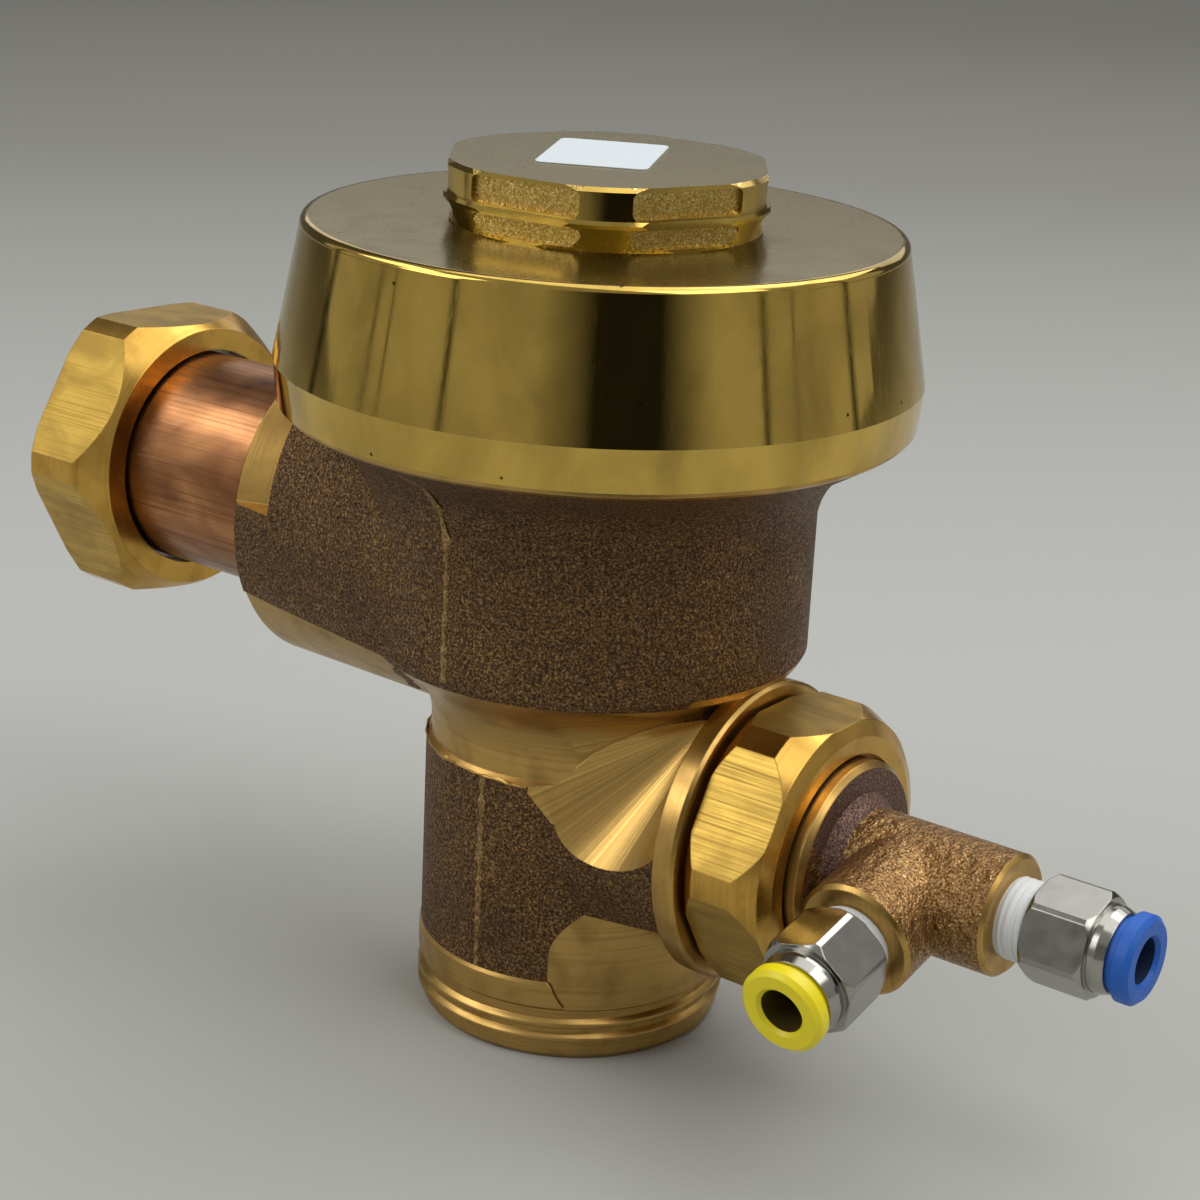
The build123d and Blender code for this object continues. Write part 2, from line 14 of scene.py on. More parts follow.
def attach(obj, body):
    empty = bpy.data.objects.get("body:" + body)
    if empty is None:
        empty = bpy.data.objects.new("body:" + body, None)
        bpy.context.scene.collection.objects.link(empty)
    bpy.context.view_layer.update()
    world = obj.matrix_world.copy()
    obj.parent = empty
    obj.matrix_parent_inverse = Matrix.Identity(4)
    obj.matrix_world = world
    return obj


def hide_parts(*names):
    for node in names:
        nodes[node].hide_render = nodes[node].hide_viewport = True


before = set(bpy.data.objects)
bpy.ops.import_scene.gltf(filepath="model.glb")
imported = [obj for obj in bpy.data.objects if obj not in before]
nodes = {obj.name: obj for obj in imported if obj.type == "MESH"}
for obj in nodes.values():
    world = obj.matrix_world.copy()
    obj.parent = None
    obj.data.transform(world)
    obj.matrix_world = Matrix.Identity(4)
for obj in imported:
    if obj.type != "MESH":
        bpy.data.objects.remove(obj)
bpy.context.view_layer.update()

MM = 0.001

# %% [markdown]
# Colours are written the way a colour picker shows them and turned to the linear values that the renderer
# needs. One helper adds a shader node, sets its options and plugs in values or other nodes' outputs, so
# that a finish reads as a short list of steps.

# %% Colour and node helpers


def linear(code, alpha=1.0):
    """sRGB hex to linear: a channel below 0.04045 is divided by 12.92, above it is ((c + 0.055) / 1.055) ** 2.4."""
    c = np.array([int(code[i:i + 2], 16) for i in (1, 3, 5)]) / 255.0
    low, high = c / 12.92, ((c + 0.055) / 1.055) ** 2.4
    return (*np.where(c <= 0.04045, low, high).tolist(), alpha)


def add(tree, kind, options=None, **plugs):
    """Adds one node; options are its properties, plugs its inputs by name (i and a number for unnamed ones)."""
    made = tree.nodes.new(kind)
    for key, value in (options or {}).items():
        setattr(made, key, value)
    for key, value in plugs.items():
        numbered = key[0] == "i" and key[1:].isdigit()
        socket = made.inputs[int(key[1:])] if numbered else made.inputs[key.replace("_", " ")]
        if isinstance(value, bpy.types.NodeSocket):
            tree.links.new(value, socket)
        else:
            socket.default_value = value
    return made


def start(name, **plugs):
    """New material with one Principled shader; plugs are its constant values."""
    mat = bpy.data.materials.new(name)
    mat.use_nodes = True
    tree = mat.node_tree
    shader = tree.nodes["Principled BSDF"]
    for key, value in plugs.items():
        shader.inputs[key.replace("_", " ")].default_value = value
    return mat, tree, shader


def wire(tree, shader, **plugs):
    """Plugs node outputs into the shader's inputs."""
    for key, value in plugs.items():
        tree.links.new(value, shader.inputs[key.replace("_", " ")])


print("node helpers ready")

# %% [markdown]
# Patterns are noises on Object coordinates. Their scale is given by the real size of a lump in millimetres,
# and a stretch per axis turns lumps to lines. Relief goes through one bump node, and a bevel node before it
# breaks the sharp edges of the solids the way a file or a tumbler would.

# %% Pattern helpers


def grain(tree, width_mm, stretch=(1, 1, 1), detail=2.0, distort=0.0):
    """Noise whose lumps are about width_mm across, stretched per axis."""
    where = add(tree, "ShaderNodeTexCoord").outputs["Object"]
    scaled = add(tree, "ShaderNodeMapping", Vector=where, Scale=stretch).outputs["Vector"]
    noise = add(tree, "ShaderNodeTexNoise", Vector=scaled, Scale=1 / (width_mm * MM), Detail=detail)
    noise.inputs["Distortion"].default_value = distort
    return noise.outputs["Fac"]


def rings(tree, width_mm, center, detail=1.0):
    """Noise of the distance from a line along Z through center: fine circles such as facing leaves."""
    where = add(tree, "ShaderNodeTexCoord").outputs["Object"]
    moved = add(tree, "ShaderNodeVectorMath", {"operation": "SUBTRACT"}, i0=where, i1=center)
    flat = add(tree, "ShaderNodeVectorMath", {"operation": "MULTIPLY"}, i0=moved.outputs["Vector"], i1=(1, 1, 0))
    far = add(tree, "ShaderNodeVectorMath", {"operation": "LENGTH"}, i0=flat.outputs["Vector"]).outputs["Value"]
    noise = add(tree, "ShaderNodeTexNoise", {"noise_dimensions": "1D"}, W=far, Scale=1 / (width_mm * MM))
    noise.inputs["Detail"].default_value = detail
    return noise.outputs["Fac"]


def dots(tree, spacing_mm, size_mm):
    """Round dots: 1 inside, 0 outside, one to a cell of the given spacing."""
    where = add(tree, "ShaderNodeTexCoord").outputs["Object"]
    cells = add(tree, "ShaderNodeTexVoronoi", Vector=where, Scale=1 / (spacing_mm * MM)).outputs["Distance"]
    edge = size_mm / spacing_mm / 2
    return spread(tree, cells, edge * 0.6, edge, 1.0, 0.0)


def ramp(tree, fac, stops):
    """Colour ramp from (position, hex) stops."""
    made = add(tree, "ShaderNodeValToRGB", Fac=fac)
    band = made.color_ramp
    while len(band.elements) < len(stops):
        band.elements.new(0.5)
    for element, (place, code) in zip(band.elements, stops):
        element.position = place
        element.color = linear(code)
    return made.outputs["Color"]


def spread(tree, fac, low, high, out_low, out_high):
    """Maps a number from one range to another."""
    made = add(tree, "ShaderNodeMapRange", Value=fac, From_Min=low, From_Max=high, To_Min=out_low,
               To_Max=out_high)
    return made.outputs["Result"]


def mix(tree, fac, a, b):
    """Colour a where fac is 0 and b where it is 1."""
    return add(tree, "ShaderNodeMix", {"data_type": "RGBA"}, i0=fac, i6=a, i7=b).outputs[2]


def bumps(tree, shader, height, depth_mm, strength=1.0, edge_mm=0.0):
    """Relief from a height between 0 and 1, over edges softened to the given radius."""
    made = add(tree, "ShaderNodeBump", Height=height, Strength=strength, Distance=depth_mm * MM)
    if edge_mm:
        soft = add(tree, "ShaderNodeBevel", {"samples": 4}, Radius=edge_mm * MM)
        tree.links.new(soft.outputs["Normal"], made.inputs["Normal"])
    wire(tree, shader, Normal=made.outputs["Normal"])


print("pattern helpers ready")

# %% [markdown]
# The body is sand-cast bronze. Sand leaves a fine even grain, a brown skin and bright specks where the
# crests of the grain were rubbed. One noise of sand size gives colour and relief together, a second of
# centimetre size the slow change of tone of a casting skin, and sparse dots the rubbed specks.

# %% Sand-cast bronze
SAND_MM, LUMP_MM = 0.36, 1.5


def cast_bronze(name, dark, mid, light, rough=0.6, metal=0.6, depth_mm=0.2, speck="#b9965e", lump=0.3):
    """Casting skin: sand grain in colour and relief over slow blotches, with rubbed specks and a share of lumps."""
    mat, tree, shader = start(name, Metallic=metal)
    sand = grain(tree, SAND_MM, detail=4.0)
    blotch = grain(tree, 13.0, detail=3.0)
    skin = ramp(tree, sand, ((0.34, dark), (0.52, mid), (0.70, light)))
    aged = mix(tree, spread(tree, blotch, 0.35, 0.7, 0.0, 0.4), skin, linear(dark))
    tint = mix(tree, dots(tree, 2.2, 0.34), aged, linear(speck))
    wire(tree, shader, Base_Color=tint, Roughness=spread(tree, sand, 0.3, 0.7, rough + 0.12, rough - 0.18))
    lumps = grain(tree, LUMP_MM, detail=2.0)
    share = lump * LUMP_MM / SAND_MM
    relief = add(tree, "ShaderNodeMath", {"operation": "MULTIPLY_ADD"}, i0=lumps, i1=share, i2=sand)
    bumps(tree, shader, relief.outputs["Value"], depth_mm, 1.0)
    return mat


sand_cast = cast_bronze("sand_cast_bronze", "#2f1c0c", "#664828", "#a8834e")
seam_cast = cast_bronze("sand_cast_seam_filed", "#755b36", "#a08050", "#c9a66c", rough=0.45, metal=0.8)
print("made", sand_cast.name, seam_cast.name)

# %% [markdown]
# Where the casting was turned the metal shows as satin bronze with fine tool lines. The lines lie at right
# angles to the turning axis, so a noise squeezed along that axis and long across it draws them. Old finger
# marks and water stain it in patches.

# %% Turned bronze
TOOL_MM = 0.45
# Noise lumps per radian about the cone's axis. Some 20 mm from its tip one lump is about a millimetre wide,
# coarser than the real tool lines so that they show. The stripes are partly tool lines, partly painted highlight
# streaks.
CUT_LINES_AND_HIGHLIGHTS = 22.0


def turned_bronze(name, axis, color, stain_color, rough=0.27):
    """Satin metal with tool lines round one axis (0 is X, 2 is Z)."""
    mat, tree, shader = start(name, Metallic=1.0)
    stretch = [0.02, 0.02, 0.02]
    stretch[axis] = 1.0
    lines = grain(tree, TOOL_MM, stretch, detail=3.0)
    stain = grain(tree, 5.0, detail=5.0)
    tint = ramp(tree, stain, ((0.48, color), (0.9, stain_color)))
    lined = mix(tree, spread(tree, lines, 0.52, 0.72, 0.0, 0.45), tint, linear(stain_color))
    wire(tree, shader, Base_Color=lined, Roughness=spread(tree, stain, 0.3, 0.7, rough, rough + 0.12))
    bumps(tree, shader, lines, 0.02, 0.8, edge_mm=0.25)
    return mat


def conical_bronze(name, apex, u, v, color, shade, rough=0.24):
    """Satin metal whose lines run down a cone: noise of the angle about its axis, the same on both sides of y = 0.
    Its light and dark stripes are tool lines and also painted highlight streaks.
    """
    mat, tree, shader = start(name, Metallic=1.0)
    where = add(tree, "ShaderNodeTexCoord").outputs["Object"]
    folded = add(tree, "ShaderNodeVectorMath", {"operation": "ABSOLUTE"}, i0=where).outputs["Vector"]
    tip = tuple(c * MM for c in apex)
    along = add(tree, "ShaderNodeVectorMath", {"operation": "SUBTRACT"}, i0=folded, i1=tip).outputs["Vector"]
    dot = {"operation": "DOT_PRODUCT"}
    parts = [add(tree, "ShaderNodeVectorMath", dot, i0=along, i1=d).outputs["Value"] for d in (u, v)]
    angle = add(tree, "ShaderNodeMath", {"operation": "ARCTAN2"}, i0=parts[0], i1=parts[1]).outputs["Value"]
    noise = add(tree, "ShaderNodeTexNoise", {"noise_dimensions": "1D"}, W=angle, Scale=CUT_LINES_AND_HIGHLIGHTS, Detail=5.0)
    lines = noise.outputs["Fac"]
    # Painted highlight streaks over the tool lines: the colour runs from shade to color along the cone's rulings, as
    # the streaked highlights of a turned face do.
    wire(tree, shader, Base_Color=ramp(tree, lines, ((0.25, shade), (0.7, color))))
    wire(tree, shader, Roughness=spread(tree, lines, 0.3, 0.7, rough + 0.1, rough))
    bumps(tree, shader, lines, 0.02, 0.6, edge_mm=0.25)
    return mat


CUT_APEX, CUT_DIR, CUT_ANGLE = (29.5, 8.5, 56.5), (-0.301, 0.869, -0.394), 34.9
cut_u = np.cross(CUT_DIR, (0, 0, 1)) / np.linalg.norm(np.cross(CUT_DIR, (0, 0, 1)))
cut_v = np.cross(CUT_DIR, cut_u)
turned_cut = conical_bronze("bronze_conical_cut", CUT_APEX, cut_u.tolist(), cut_v.tolist(), "#cda75f",
                            "#a9874c")
turned_z = turned_bronze("bronze_turned_upright", 2, "#bf9b59", "#8d6e3c")
turned_x = turned_bronze("bronze_turned_crosswise", 0, "#c29c58", "#8d6e3c")
brass_cut = turned_bronze("brass_chamfer_turned", 0, "#cda24e", "#9c7632", rough=0.2)
print("made", turned_z.name, turned_x.name, brass_cut.name)

# %% [markdown]
# The cover was polished to bare brass and has been handled: a near mirror with faint upright streaks,
# smudges and dots of tarnish. Its head has cast panels left grainy between polished corners, and a faced
# top that is dull olive.

# %% Polished brass


def polished_brass(name, color, smudge_color, rough=0.12, lines=None):
    """Polished metal with smudges, fine wear and tarnish dots; lines adds facing circles of that width."""
    mat, tree, shader = start(name, Metallic=1.0)
    smudge = grain(tree, 9.0, (1, 1, 0.6), detail=6.0, distort=0.4)
    wear = rings(tree, lines, (0, 0, 0)) if lines else grain(tree, 0.4, (1, 1, 0.05), detail=2.0)
    tint = ramp(tree, smudge, ((0.35, color), (0.75, smudge_color)))
    spotted = mix(tree, dots(tree, 6.0, 0.7), tint, linear("#43341a"))
    scratches = spread(tree, grain(tree, 0.5, (1, 1, 0.04), detail=4.0), 0.55, 0.75, 0.0, 0.1)
    gloss = spread(tree, smudge, 0.4, 0.75, rough, rough + 0.1)
    rubbed = add(tree, "ShaderNodeMath", {"operation": "ADD"}, i0=scratches, i1=gloss).outputs["Value"]
    wire(tree, shader, Base_Color=spotted, Roughness=rubbed)
    bumps(tree, shader, wear, 0.004, 0.5)
    return mat


brass_polished = polished_brass("brass_polished", "#d2b158", "#a98d47", rough=0.06)
brass_faced = polished_brass("brass_faced_olive", "#978748", "#7d6e3a", rough=0.2, lines=0.35)
brass_grainy = cast_bronze("brass_cast_panel", "#a2833d", "#d0b267", "#f0dea4", rough=0.34, metal=1.0,
                           depth_mm=0.1, speck="#f6e6b4")
print("made", brass_polished.name, brass_grainy.name, brass_faced.name)

# %% [markdown]
# The nuts are cut from drawn hexagon bar and the tail from drawn tube. Drawing leaves long straight lines
# along the bar, so the same stretched noise is used with its long side along X. The tube is redder and has
# smoky heat stains.

# %% Drawn brass and tube


def drawn_brass(name, color, shade, rough=0.24, stain_mm=6.0, scratch_mm=0.35):
    """Bar or tube with draw lines along X and soft stains."""
    mat, tree, shader = start(name, Metallic=1.0)
    lines = grain(tree, scratch_mm, (0.015, 1, 1), detail=3.0)
    stain = grain(tree, stain_mm, (0.6, 1, 1), detail=4.0, distort=0.6)
    tint = ramp(tree, stain, ((0.36, color), (0.66, shade)))
    lined = mix(tree, spread(tree, lines, 0.52, 0.68, 0.0, 0.8), tint, linear(shade))
    wire(tree, shader, Base_Color=lined, Roughness=spread(tree, lines, 0.3, 0.7, rough, rough + 0.16))
    bumps(tree, shader, lines, 0.02, 0.9, edge_mm=0.3)
    return mat


brass_drawn = drawn_brass("brass_drawn_bar", "#caa650", "#a3843f", rough=0.32)
copper_tube = drawn_brass("red_brass_drawn_tube", "#bd8658", "#7b5136", rough=0.26, stain_mm=9.0,
                          scratch_mm=0.6)
print("made", brass_drawn.name, copper_tube.name)

# %% [markdown]
# The actuator is a smaller casting with a purplish skin on its flange and a golden glitter on its tee. The
# small bought parts are satin nickel plate, white thread tape, moulded coloured plastic, blank paper,
# rubber and steel.

# %% Small finishes
flange_cast = cast_bronze("bronze_cast_flange_skin", "#452f27", "#73564a", "#a2806c", rough=0.6, metal=0.6)
tee_cast = cast_bronze("bronze_cast_tee_skin", "#6a4c2c", "#a27c4d", "#d8b27a", rough=0.4, metal=0.9,
                       speck="#eccd98", lump=0.8)


def plain(name, color, rough, metal=0.0, edge_mm=0.0):
    """One even finish with a little slow variation of its gloss."""
    mat, tree, shader = start(name, Metallic=metal, Base_Color=linear(color))
    cloud = grain(tree, 3.0, detail=3.0)
    wire(tree, shader, Roughness=spread(tree, cloud, 0.3, 0.7, rough - 0.04, rough + 0.06))
    bumps(tree, shader, grain(tree, 0.25, detail=1.0), 0.01, 0.3, edge_mm=edge_mm)
    return mat


nickel = plain("nickel_plate_satin", "#a3a19b", 0.16, metal=1.0, edge_mm=0.25)
tape = plain("ptfe_tape_wrapped", "#d2d4d4", 0.6)
yellow = plain("acetal_yellow_moulded", "#e6d414", 0.36, edge_mm=0.25)
blue = plain("acetal_blue_moulded", "#0a56b4", 0.45, edge_mm=0.25)
# Painted shade for the collets' bores: dark versions of the two plastics stand in for the little light inside.
yellow_bore_shade = plain("acetal_yellow_bore_painted_shade", "#4a3c08", 0.6)
blue_bore_shade = plain("acetal_blue_bore_painted_shade", "#0a2448", 0.6)
paper = plain("paper_label_blank", "#c3cbd0", 0.7)
rubber = plain("rubber_black_moulded", "#161616", 0.6)
steel = plain("spring_steel_bright", "#8d8d8d", 0.25, metal=1.0)
guide_plastic = plain("nylon_guide_moulded", "#cfc9b4", 0.5)
print("small finishes made")

# %% [markdown]
# Each solid of one finish gets it here. Solids of several finishes follow, each in its own cell.

# %% Give the solids their finishes
FINISH = {
    "cover_label": paper, "inside_cover": guide_plastic, "diaphragm": rubber, "flush_guide": guide_plastic,
    "relief_valve": brass_drawn, "inlet_tail": copper_tube, "tail_o_ring": rubber, "tail_snap_ring": steel,
    "plunger_bushing": brass_drawn, "actuator_gasket": rubber, "rod_seal": rubber, "plunger": brass_drawn,
    "piston_seal": rubber,
}
for side in ("front", "side"):
    FINISH.update({f"fitting_{side}": nickel, f"thread_tape_{side}": tape, f"tube_seal_{side}": rubber,
                   f"gripper_{side}": steel})
for name, mat in FINISH.items():
    mesh = nodes[name].data
    mesh.materials.clear()
    mesh.materials.append(mat)


def triangles(name):
    """Middle point (in millimetres) and outward normal of every face of a solid, as two arrays."""
    mesh = nodes[name].data
    n = len(mesh.polygons)
    middle, normal = np.empty(3 * n), np.empty(3 * n)
    mesh.polygons.foreach_get("center", middle)
    mesh.polygons.foreach_get("normal", normal)
    return middle.reshape(-1, 3) / MM, normal.reshape(-1, 3)


def corners(name):
    """The three corners of every face of a solid in millimetres, as an array of face, corner and x, y, z."""
    mesh = nodes[name].data
    points, turns = np.empty(3 * len(mesh.vertices)), np.empty(len(mesh.loops), int)
    mesh.vertices.foreach_get("co", points)
    mesh.loops.foreach_get("vertex_index", turns)
    return points.reshape(-1, 3)[turns].reshape(-1, 3, 3) / MM


def paint(name, mats, index):
    """Puts several finishes on one solid, one number per face."""
    mesh = nodes[name].data
    mesh.materials.clear()
    for mat in mats:
        mesh.materials.append(mat)
    mesh.polygons.foreach_set("material_index", index.astype(np.int32))
    print(name, [int((index == k).sum()) for k in range(len(mats))])


print("one-finish solids", len(FINISH))

# %% [markdown]
# Little light reaches the collets' bores, so the faces near the axis get painted shade: a darker colour and a
# rougher finish. A lamp could be kept out of them, but this painted shade looks the same and stays with the part.

# %% Collet finishes with painted bore shade
BORE_MM = 3.36
TEE_MIDDLE = (60.0, 0.0, 37.9)
for side, mats in (("front", [yellow, yellow_bore_shade]), ("side", [blue, blue_bore_shade])):
    mid, out = triangles(f"collet_{side}")
    axis = mid.mean(0) - TEE_MIDDLE
    axis = axis / np.linalg.norm(axis)
    offset = mid - TEE_MIDDLE
    away = np.linalg.norm(offset - np.outer(offset @ axis, axis), axis=1)
    # Faces closer to the axis than BORE_MM get the painted shade.
    paint(f"collet_{side}", mats, np.where(away < BORE_MM, 1, 0))

# %% [markdown]
# On the body the outlet collar, the cove under the bowl, the lip and the bores are turned round Z. The
# flange, the arched pocket, the conical cuts at the shoulders and the inlet boss's end are turned round X.
# The rest keeps the casting skin. Separate meshes could carry the finishes, but a material number per face
# leaves the solid as it is. Which face is which follows from where its middle and corners lie and how it
# leans, worked out for all faces at once.

# %% Body finishes
ACT_Z, INLET_Z = 37.9, 70.8
COLLAR_TOP, COVE_LOW, COVE_HIGH, FLANK_HIGH, LIP_LOW = 13.0, 44.0, 60.05, 60.65, 95.0
FLANK_X, ARCH_X, BORE_R, FLANGE_HIGH, INLET_END = -18.0, 8.0, 20.6, 61.0, -48.9
SCOOP_X, SCOOP_LOW, SCOOP_R, CUT_HIGH = -41.0, 75.0, 25.4, 60.6
COVE_NEAR, NECK_NEAR, CUT_NEAR, CUT_LEAN = 0.6, 0.03, 0.06, 18.0
COVE_LINE = ((44.0, 23.7), (44.7, 23.0), (48.0, 23.0), (52.6, 24.5), (56.4, 28.2), (60.0, 32.9))
ARCH_WIDE, ARCH_LOW, ARCH_TOP, ARCH_CORNER, FLANGE_AT = 20.8, 3.0, 28.0, 11.0, 29.7
mid, out = triangles("valve_body")
x, y, z = mid.T
from_z = np.hypot(x, y)
from_inlet = np.hypot(y, z - INLET_Z)
heights, radii = np.array(COVE_LINE).T
on_cove = (z > COVE_LOW) & (z < COVE_HIGH) & (np.abs(from_z - np.interp(z, heights, radii)) < COVE_NEAR)
on_flank = (x < FLANK_X) & (z > COVE_LOW) & (z < FLANK_HIGH)
corner_y = np.maximum(np.abs(y) - (ARCH_WIDE - ARCH_CORNER), 0)
half_tall = (ARCH_TOP - ARCH_LOW) / 2
corner_z = np.maximum(np.abs(z - ARCH_LOW - half_tall) - (half_tall - ARCH_CORNER), 0)
in_arch = (x > ARCH_X) & (x < FLANGE_AT) & (np.hypot(corner_y, corner_z) < ARCH_CORNER + NECK_NEAR)
mirror = np.stack([np.ones_like(y), np.sign(y), np.ones_like(y)], 1)
points = corners("valve_body")
along = points * mirror[:, None] - CUT_APEX
far = np.linalg.norm(along, axis=2)
slant = np.arccos(np.clip(along @ CUT_DIR / far, -1, 1)) - np.radians(CUT_ANGLE)
lean = np.degrees(np.arcsin(np.clip(out * mirror @ CUT_DIR, -1, 1)))
on_neck = (np.abs(np.hypot(points[..., 0], points[..., 1]) - COVE_LINE[0][1]) < NECK_NEAR).all(1)
on_cut = (np.abs(far * np.sin(slant)) < CUT_NEAR).all(1) & (np.abs(lean - CUT_ANGLE) < CUT_LEAN)
on_cut &= (z < CUT_HIGH) & (x > 0) & ~on_neck
body_index = np.zeros(len(mid))
body_index[(z < COLLAR_TOP) | (z > LIP_LOW) | on_cove | on_flank | (from_z < BORE_R)] = 1
body_index[in_arch] = 1
body_index[(x > FLANGE_AT) & (z < FLANGE_HIGH) | (x < INLET_END)] = 2
body_index[(x < SCOOP_X) & (z > SCOOP_LOW) & (from_inlet < SCOOP_R)] = 2
body_index[on_cut] = 3
paint("valve_body", [sand_cast, turned_z, turned_x, turned_cut], body_index)

# %% [markdown]
# The cover's sides are polished. Between the head's corners the pockets keep a grainy casting skin, and
# both upper faces were faced on the lathe.

# %% Cover finishes
HEAD_LOW, HEAD_TOP, POCKET_HALF, FLAT = 123.4, 132.2, 8.75, 22.5
HEAD_TURN, UPPER_FACE, LEVEL = -53.6, 123.1, 0.95
mid, out = triangles("outer_cover")
turns = np.radians(HEAD_TURN + 30 + 60 * np.arange(6))
across = mid[:, :2] @ np.stack([np.cos(turns), np.sin(turns)])
sideways = mid[:, :2] @ np.stack([-np.sin(turns), np.cos(turns)])
nearest = across.argmax(1)
rows = np.arange(len(mid))
in_pocket = (mid[:, 2] > HEAD_LOW) & (mid[:, 2] < HEAD_TOP) & (across[rows, nearest] < FLAT - 0.05)
in_pocket &= np.abs(sideways[rows, nearest]) < POCKET_HALF
cover_index = np.zeros(len(mid))
cover_index[in_pocket] = 1
cover_index[(mid[:, 2] > UPPER_FACE) & (out[:, 2] > LEVEL) & ~in_pocket] = 2
paint("outer_cover", [brass_polished, brass_grainy, brass_faced], cover_index)

# %% [markdown]
# The nuts' flats show the drawn bar; their corners and chamfers are turned. A flat is known by its normal,
# which points at a multiple of 60 degrees and not along the axis, so no face has to be picked by hand.

# %% Nut finishes
FLAT_OUT, FLAT_TURN, FLAT_ACROSS = 0.02, 3.0, 19.9
for name, axis_z, nut_turn in (("inlet_nut", INLET_Z, -2.0), ("actuator_nut", ACT_Z, 0.0)):
    mid, out = triangles(name)
    turn = np.degrees(np.arctan2(out[:, 2], out[:, 1])) - nut_turn
    off_flat = np.abs(turn % 60 - 30)
    far = np.hypot(mid[:, 1], mid[:, 2] - axis_z)
    on_flat = (np.abs(out[:, 0]) < FLAT_OUT) & (off_flat < FLAT_TURN) & (far > FLAT_ACROSS)
    paint(name, [brass_drawn, brass_cut], np.where(on_flat, 0, 1))

# %% [markdown]
# The actuator's flange keeps a purplish skin on its face, its rim and the ports' ends are turned, the tee
# is cast. One cut along X and one along the front port part these, and both follow the tee's own middle.

# %% Actuator finishes
DISC_FACE, TEE_AT, PORT_END, TILT = 50.4, 60.0, 15.2, math.radians(13.0)
SKIN_DEEP, FRONT_ROOT = 2.4, 9.5
mid, out = triangles("actuator_body")
front_out = (mid - (TEE_AT, 0, ACT_Z)) @ np.array([0, -math.cos(TILT), -math.sin(TILT)])
act_index = np.zeros(len(mid))
act_index[(mid[:, 0] < DISC_FACE + SKIN_DEEP) & (front_out < FRONT_ROOT)] = 1
act_index[(mid[:, 0] < DISC_FACE - 0.05) | (mid[:, 0] > TEE_AT + PORT_END) | (front_out > PORT_END)] = 2
paint("actuator_body", [tee_cast, flange_cast, turned_x], act_index)

# %% [markdown]
# Screw threads are too fine for the solids. A Screw modifier could turn a profile, but it stops blunt, so
# each thread is one strip worked out along a helix: a flat-topped ridge that grows out of the root at its
# start and sinks back at its end, as a die leaves it.

# %% Screw threads


def sheet(name, points, mat, body):
    """Surface from a grid of points (rows, columns, 3) in millimetres, smooth, riding on a body."""
    rows, cols = points.shape[:2]
    k = (np.arange(rows - 1)[:, None] * cols + np.arange(cols - 1)).ravel()
    faces = np.column_stack([k, k + 1, k + 1 + cols, k + cols])
    mesh = bpy.data.meshes.new(name)
    mesh.from_pydata((points.reshape(-1, 3) * MM).tolist(), [], faces.tolist())
    mesh.polygons.foreach_set("use_smooth", np.ones(len(faces), bool))
    mesh.materials.append(mat)
    made = bpy.data.objects.new(name, mesh)
    bpy.context.scene.collection.objects.link(made)
    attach(made, body)
    print(name, len(faces), "faces")
    return made


def helix(root, crest, low, high, pitch, per_turn=120):
    """Thread about Z: angle a climbs pitch * a / 2 pi; across one pitch a straight-sided ridge runs root to crest."""
    turns = (high - low) / pitch - 1
    a = np.linspace(0, 2 * math.pi * turns, int(per_turn * turns))
    s = np.array([-0.5, -0.38, -0.35, -0.15, -0.1, 0.1, 0.15, 0.35, 0.38, 0.5])
    fade = np.clip(np.minimum(a, a[-1] - a) / 1.2, 0, 1)
    bump = np.interp(np.abs(s), (0.1, 0.15, 0.35, 0.38), (1.0, 0.94, 0.06, 0.0))
    r = root - 0.05 + (crest - root + 0.05) * fade[:, None] * bump
    up = low + pitch / 2 + pitch * a[:, None] / (2 * math.pi) + pitch * s
    return np.stack([r * np.cos(a)[:, None], r * np.sin(a)[:, None], up], -1)


def placed(points, origin, z_dir, x_dir):
    """Turns points so that Z runs along z_dir and moves them to origin."""
    zx, xx = np.array(z_dir, float), np.array(x_dir, float)
    basis = np.stack([xx, np.cross(zx, xx), zx])
    return points @ basis + np.array(origin, float)


OUTLET_PITCH, TAPE_PITCH, NUT_PITCH = 2.35, 1.0, 2.2
TAPE_ROOT, TAPE_CREST, TAPE_STEPS = 5.7, 5.92, 60
sheet("outlet_thread_ridge", helix(23.1, 23.98, 0.5, 9.3, OUTLET_PITCH), turned_z, "valve")
side_turns = helix(TAPE_ROOT, TAPE_CREST, 15.8, 20.8, TAPE_PITCH, TAPE_STEPS)
side_tape = placed(side_turns, (TEE_AT, 0, ACT_Z), (1, 0, 0), (0, 1, 0))
sheet("tape_ridge_side", side_tape, tape, "valve")
front_dir = (0, -math.cos(TILT), -math.sin(TILT))
front_turns = helix(TAPE_ROOT, TAPE_CREST, 15.7, 18.6, TAPE_PITCH, TAPE_STEPS)
front_tape = placed(front_turns, (TEE_AT, 0, ACT_Z), front_dir, (1, 0, 0))
sheet("tape_ridge_front", front_tape, tape, "valve")
nut_thread = placed(helix(20.6, 19.9, 86.7, 97.0, NUT_PITCH), (0, 0, INLET_Z), (-1, 0, 0), (0, 1, 0))
sheet("inlet_nut_thread_ridge", nut_thread, brass_cut, "inlet_nut")

# %% [markdown]
# The cover's upper edge was rolled over and buffed. A ring skin with a true round section lies on it,
# because the highlight on a polished edge shows every facet.

# %% Cover edge


def turned_skin(profile, around=720):
    """Skin of revolution about Z: every (radius, height) point of the profile goes once round."""
    a = np.linspace(0, 2 * math.pi, around)[:, None]
    r, up = np.array(profile).T
    return np.stack([r * np.cos(a), r * np.sin(a), up + 0 * a], -1)


